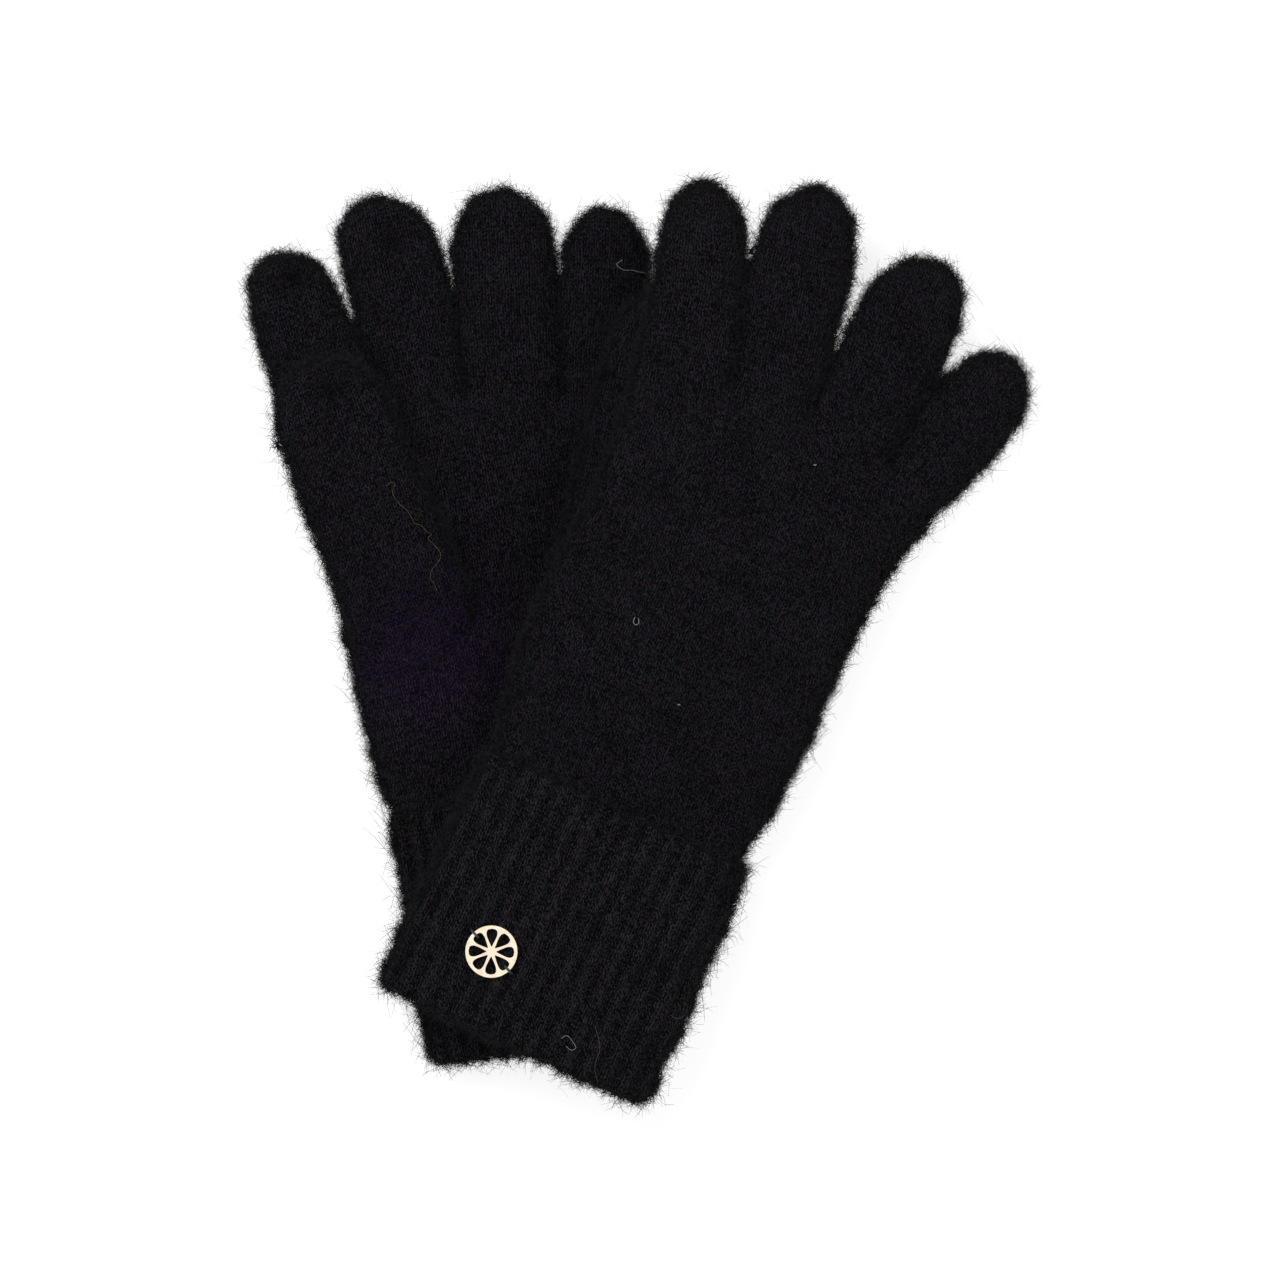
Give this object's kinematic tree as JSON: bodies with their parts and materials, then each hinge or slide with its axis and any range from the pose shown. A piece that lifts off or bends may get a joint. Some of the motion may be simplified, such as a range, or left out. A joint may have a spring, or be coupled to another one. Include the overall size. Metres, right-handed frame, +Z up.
{
  "type": "touchscreen gloves",
  "caption": "Fuzzy knitted touchscreen gloves laid flat, one across the other, with turned-back ribbed cuffs, conductive index and thumb tips and an openwork metal badge.",
  "frame": {"origin": "centre of the footprint of the flat-laid gloves, at the height of the surface they lie on", "axes": "+Y from the cuffs towards the fingertips, +X to the right seen from above, +Z up off the surface"},
  "size_m": [0.2082, 0.2488, 0.0374],
  "materials": {
    "wool_knit": "brushed stockinette wool knit with a fine fibre halo",
    "rib_knit": "two-by-two rib wool knit, turned back",
    "conductive_knit": "stockinette knit of wool with conductive yarn",
    "badge_metal": "polished pale gold plate",
    "sewing_thread": "twisted black sewing thread"
  },
  "bodies": {
    "left_glove": {"left_hand": "wool_knit", "left_cuff": "rib_knit", "left_index": "wool_knit", "left_little": "wool_knit"},
    "left_index_end": {"left_index_tip": "conductive_knit"},
    "left_middle_finger": {"left_middle": "wool_knit"},
    "left_ring_finger": {"left_ring": "wool_knit"},
    "left_thumb_tube": {"left_thumb": "wool_knit", "left_thumb_tip": "conductive_knit", "left_thumb_yarn_knot": "conductive_knit"},
    "right_glove": {"right_hand": "wool_knit", "right_cuff": "rib_knit", "badge": "badge_metal", "badge_stitch_1": "sewing_thread", "badge_stitch_2": "sewing_thread"},
    "right_index_finger": {"right_index": "wool_knit", "right_index_tip": "conductive_knit", "right_index_yarn_knot": "conductive_knit"},
    "right_middle_finger": {"right_middle": "wool_knit"},
    "right_ring_finger": {"right_ring": "wool_knit"},
    "right_little_finger": {"right_little": "wool_knit"},
    "right_thumb_tube": {"right_thumb": "wool_knit", "right_thumb_tip": "conductive_knit"}
  },
  "joints": [
    {"name": "left_index_end_fold", "type": "hinge", "parent": "left_glove", "child": "left_index_end", "pos_m": [-0.09108, 0.0873, 0.0113], "axis": [0.9636, 0.2672, 0], "range_deg": [0, 80]},
    {"name": "left_middle_fold", "type": "hinge", "parent": "left_glove", "child": "left_middle_finger", "pos_m": [-0.05576, 0.06051, 0.0113], "axis": [0.9725, 0.233, 0], "range_deg": [0, 45]},
    {"name": "left_ring_fold", "type": "hinge", "parent": "left_glove", "child": "left_ring_finger", "pos_m": [-0.03295, 0.0624, 0.0113], "axis": [0.9942, 0.1076, 0], "range_deg": [0, 45]},
    {"name": "left_thumb_lift", "type": "hinge", "parent": "left_glove", "child": "left_thumb_tube", "pos_m": [-0.0552, -0.01345, 0.0132], "axis": [0.9427, 0.3337, 0], "range_deg": [0, 70]},
    {"name": "right_glove_lift", "type": "slide", "parent": "left_glove", "child": "right_glove", "axis": [0, 0, 1], "range_m": [0, 0.15]},
    {"name": "right_index_fold", "type": "hinge", "parent": "right_glove", "child": "right_index_finger", "pos_m": [0.01, 0.06424, 0.0362], "axis": [0.9574, -0.2879, -0.0243], "range_deg": [0, 45]},
    {"name": "right_middle_fold", "type": "hinge", "parent": "right_glove", "child": "right_middle_finger", "pos_m": [0.03427, 0.06009, 0.03152], "axis": [0.9048, -0.2614, -0.3362], "range_deg": [0, 45]},
    {"name": "right_ring_fold", "type": "hinge", "parent": "right_glove", "child": "right_ring_finger", "pos_m": [0.05467, 0.05058, 0.0236], "axis": [0.8264, -0.4593, -0.3258], "range_deg": [0, 35]},
    {"name": "right_little_fold", "type": "hinge", "parent": "right_glove", "child": "right_little_finger", "pos_m": [0.07223, 0.03798, 0.01647], "axis": [0.7318, -0.6104, -0.3032], "range_deg": [0, 35]},
    {"name": "right_thumb_swing", "type": "hinge", "parent": "right_glove", "child": "right_thumb_tube", "pos_m": [-0.00842, 0.00394, 0.0242], "axis": [0, 0, 1], "range_deg": [0, 10]}
  ]
}
